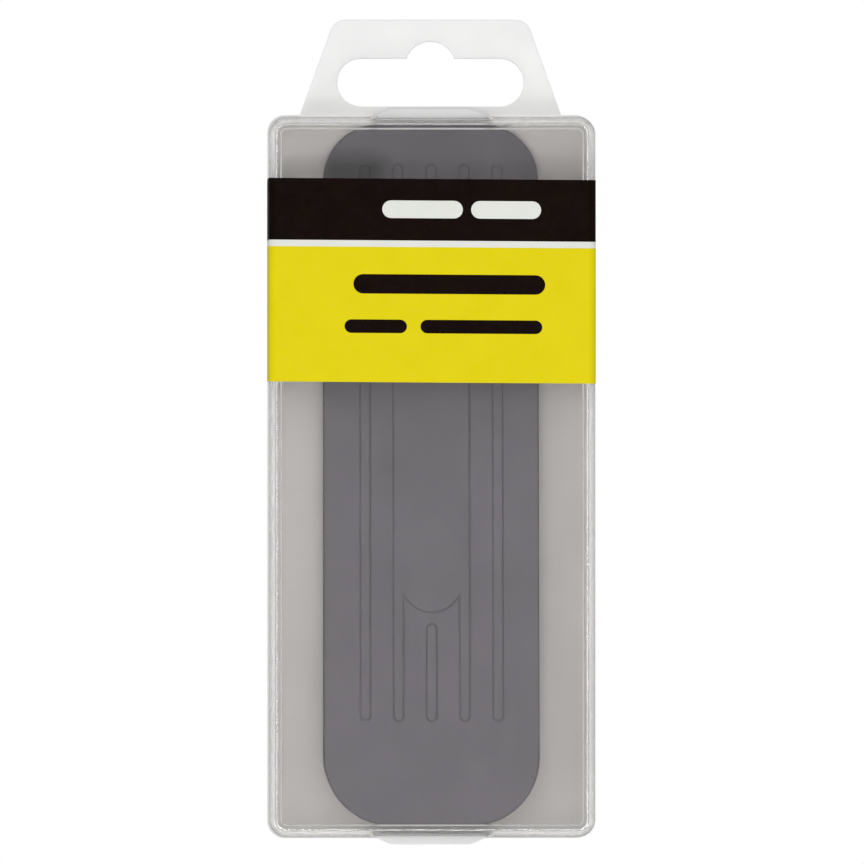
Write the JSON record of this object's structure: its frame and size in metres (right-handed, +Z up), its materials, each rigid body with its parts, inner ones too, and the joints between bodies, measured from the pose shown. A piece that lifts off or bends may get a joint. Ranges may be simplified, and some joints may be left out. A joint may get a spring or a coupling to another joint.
{
  "type": "door wedge",
  "caption": "Ribbed rubber door wedge in a hanging pack: milky back plate with a euro-slot tab, clear cover that pulls off forwards, and a printed label.",
  "frame": {"origin": "centre of the hang slot, on the flat rear face of the back plate", "axes": "+Z up to the hang tab, +X to the viewer's right, +Y out of the rear face; the clear front faces -Y"},
  "size_m": [0.056, 0.0261, 0.1413],
  "materials": {
    "grey_rubber": "matte moulded grey rubber",
    "milky_plastic": "translucent milky moulded plastic, soft sheen",
    "clear_plastic": "clear moulded plastic, polished",
    "printed_label": "printed film in black, white and yellow bands"
  },
  "bodies": {
    "back": {"back_plate": "milky_plastic", "hang_tab": "milky_plastic", "clip_tongue_top": "milky_plastic", "clip_tongue_bottom": "milky_plastic"},
    "wedge": {"door_wedge": "grey_rubber"},
    "cover": {"front_cover": "clear_plastic", "front_label": "printed_label"}
  },
  "joints": [
    {"name": "wedge_lift_out", "type": "slide", "parent": "back", "child": "wedge", "axis": [0, -1, 0], "range_m": [0, 0.045]},
    {"name": "cover_pull_off", "type": "slide", "parent": "wedge", "child": "cover", "axis": [0, -1, 0], "range_m": [0, 0.045]}
  ]
}
